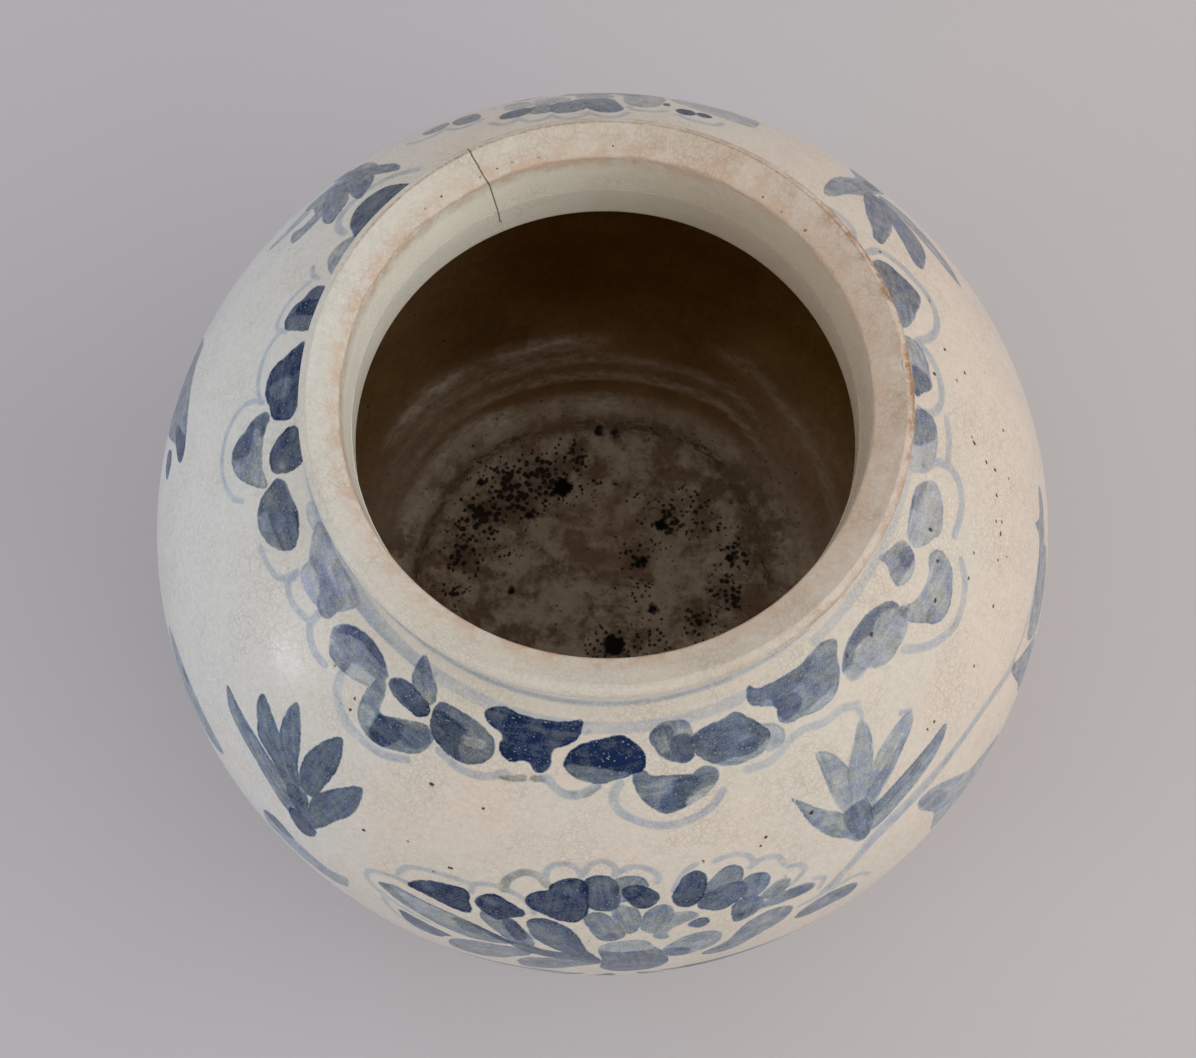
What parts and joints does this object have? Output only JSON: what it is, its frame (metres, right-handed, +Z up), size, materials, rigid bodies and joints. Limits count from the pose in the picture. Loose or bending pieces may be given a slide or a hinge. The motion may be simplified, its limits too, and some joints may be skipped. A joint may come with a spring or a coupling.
{
  "type": "storage jar",
  "caption": "Lidless globular storage jar with a wide dished lip, short waisted neck, egg-shaped body and low foot ring, painted in blue under a crackled glaze.",
  "frame": {"origin": "centre of the circle that the foot stands on", "axes": "+Z up, along the jar's axis of turning; -Y towards the side that faces the viewer; +X to the viewer's right"},
  "size_m": [0.316, 0.316, 0.285],
  "materials": {
    "foot_biscuit": "bare sand-toned clay, matt",
    "bowl_glaze": "ivory glaze, glossy, crackled, painted in cobalt outside, brown with wear inside",
    "coil_glaze": "thin brown-grey glaze, dull",
    "shoulder_glaze": "ivory glaze, glossy, crackled, painted in cobalt",
    "lip_glaze": "ivory glaze, glossy, crackled, worn to rust brown on the edge"
  },
  "bodies": {
    "root": {"foot_ring": "foot_biscuit", "lower_bowl": "bowl_glaze", "seam_coil": "coil_glaze", "upper_bowl": "shoulder_glaze", "neck_collar": "lip_glaze"}
  },
  "joints": []
}
